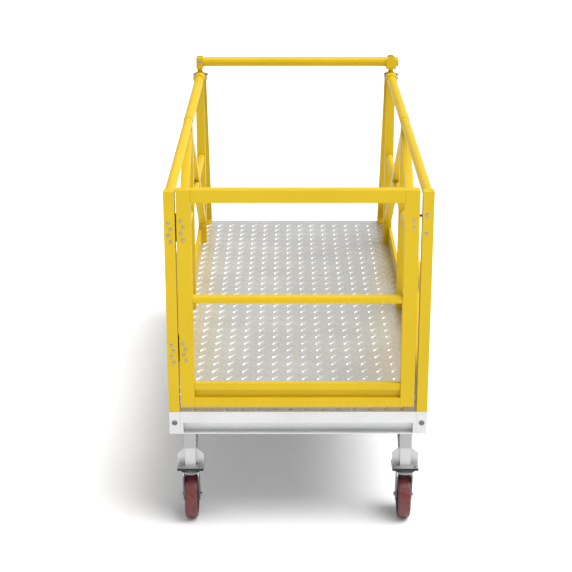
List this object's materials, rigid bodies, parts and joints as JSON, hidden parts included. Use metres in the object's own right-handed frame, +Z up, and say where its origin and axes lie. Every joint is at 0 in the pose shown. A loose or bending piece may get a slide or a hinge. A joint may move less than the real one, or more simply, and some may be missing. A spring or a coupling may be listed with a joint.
{
  "type": "rolling work platform",
  "caption": "Low rolling work platform: tread-plate deck on swivel casters, yellow guardrails down both sides, self-closing end gate and a lift-up bar across the other end.",
  "frame": {"origin": "on the floor under the middle of the deck", "axes": "+X across the platform to the right of someone facing the gate, +Y from the gated end to the rear end, +Z up"},
  "size_m": [1.2599, 3.0516, 1.7956],
  "materials": {
    "yellow_coat": "satin powder coat",
    "frame_alloy": "pale satin",
    "leg_metal": "satin",
    "tread_plate": "bright rolled",
    "caster_zinc": "zinc plated",
    "zinc_fasteners": "zinc plated",
    "dark_steel": "dark",
    "black_hinge": "black",
    "wheel_core_iron": "dark",
    "polyurethane_tread": "satin"
  },
  "bodies": {
    "frame": {"bar_cradle": "yellow_coat", "bar_pivot_bolt": "zinc_fasteners", "bar_pivot_bracket": "yellow_coat", "beam_end_caps": "frame_alloy", "caster_plate_bolts": "zinc_fasteners", "caster_top_plates": "caster_zinc", "collar_bolts": "zinc_fasteners", "cross_joists": "frame_alloy", "deck_plate": "tread_plate", "end_cap_screws": "zinc_fasteners", "front_beam": "frame_alloy", "front_braces": "yellow_coat", "front_top_rails": "yellow_coat", "hinge_leaves_post": "black_hinge", "hinge_pins": "black_hinge", "hinge_post": "yellow_coat", "leg_feet": "leg_metal", "leg_knee_braces": "leg_metal", "leg_tubes": "leg_metal", "mid_rails": "yellow_coat", "middle_braces": "yellow_coat", "middle_posts": "yellow_coat", "post_bolts": "zinc_fasteners", "rail_collars": "yellow_coat", "rear_beam": "frame_alloy", "rear_braces": "yellow_coat", "rear_posts": "yellow_coat", "rear_top_rails": "yellow_coat", "side_beam_left": "frame_alloy", "side_beam_right": "frame_alloy", "stop_bracket": "dark_steel", "stop_post": "yellow_coat", "toe_boards": "yellow_coat"},
    "gate": {"gate_bolts": "zinc_fasteners", "gate_bottom_rail": "yellow_coat", "gate_hinge_stile": "yellow_coat", "gate_kick_plate": "yellow_coat", "gate_low_rail": "yellow_coat", "gate_mid_rail": "yellow_coat", "gate_stop_stile": "yellow_coat", "gate_striker": "dark_steel", "gate_top_rail": "yellow_coat", "hinge_leaves_gate": "black_hinge"},
    "rear_bar": {"rear_bar": "yellow_coat"},
    "caster_front_left": {"caster_fork_front_left": "caster_zinc", "caster_axle_front_left": "zinc_fasteners"},
    "wheel_front_left": {"wheel_core_front_left": "wheel_core_iron", "wheel_tyre_front_left": "polyurethane_tread"},
    "caster_front_right": {"caster_fork_front_right": "caster_zinc", "caster_axle_front_right": "zinc_fasteners"},
    "wheel_front_right": {"wheel_core_front_right": "wheel_core_iron", "wheel_tyre_front_right": "polyurethane_tread"},
    "caster_rear_left": {"caster_fork_rear_left": "caster_zinc", "caster_axle_rear_left": "zinc_fasteners"},
    "wheel_rear_left": {"wheel_core_rear_left": "wheel_core_iron", "wheel_tyre_rear_left": "polyurethane_tread"},
    "caster_rear_right": {"caster_fork_rear_right": "caster_zinc", "caster_axle_rear_right": "zinc_fasteners"},
    "wheel_rear_right": {"wheel_core_rear_right": "wheel_core_iron", "wheel_tyre_rear_right": "polyurethane_tread"}
  },
  "joints": [
    {"name": "gate_swing", "type": "hinge", "parent": "frame", "child": "gate", "pos_m": [-0.5558, -1.466, 1.2066], "axis": [0, 0, 1], "range_deg": [0, 90], "stiffness_Nm_per_rad": 5, "springref_deg": -28.65},
    {"name": "rear_bar_lift", "type": "hinge", "parent": "frame", "child": "rear_bar", "pos_m": [-0.5842, 1.0968, 1.7596], "axis": [0, -1, 0], "range_deg": [0, 90]},
    {"name": "swivel_front_left", "type": "hinge", "parent": "frame", "child": "caster_front_left", "pos_m": [-0.51753, -1.44463, 0.265], "axis": [0, 0, 1], "continuous": true},
    {"name": "roll_front_left", "type": "hinge", "parent": "caster_front_left", "child": "wheel_front_left", "pos_m": [-0.51753, -1.39962, 0.1143], "axis": [1, 0, 0], "continuous": true},
    {"name": "swivel_front_right", "type": "hinge", "parent": "frame", "child": "caster_front_right", "pos_m": [0.51753, -1.44463, 0.265], "axis": [0, 0, 1], "continuous": true},
    {"name": "roll_front_right", "type": "hinge", "parent": "caster_front_right", "child": "wheel_front_right", "pos_m": [0.51753, -1.39962, 0.1143], "axis": [1, 0, 0], "continuous": true},
    {"name": "swivel_rear_left", "type": "hinge", "parent": "frame", "child": "caster_rear_left", "pos_m": [-0.51753, 1.44463, 0.265], "axis": [0, 0, 1], "continuous": true},
    {"name": "roll_rear_left", "type": "hinge", "parent": "caster_rear_left", "child": "wheel_rear_left", "pos_m": [-0.51753, 1.39962, 0.1143], "axis": [1, 0, 0], "continuous": true},
    {"name": "swivel_rear_right", "type": "hinge", "parent": "frame", "child": "caster_rear_right", "pos_m": [0.51753, 1.44463, 0.265], "axis": [0, 0, 1], "continuous": true},
    {"name": "roll_rear_right", "type": "hinge", "parent": "caster_rear_right", "child": "wheel_rear_right", "pos_m": [0.51753, 1.39962, 0.1143], "axis": [1, 0, 0], "continuous": true}
  ]
}
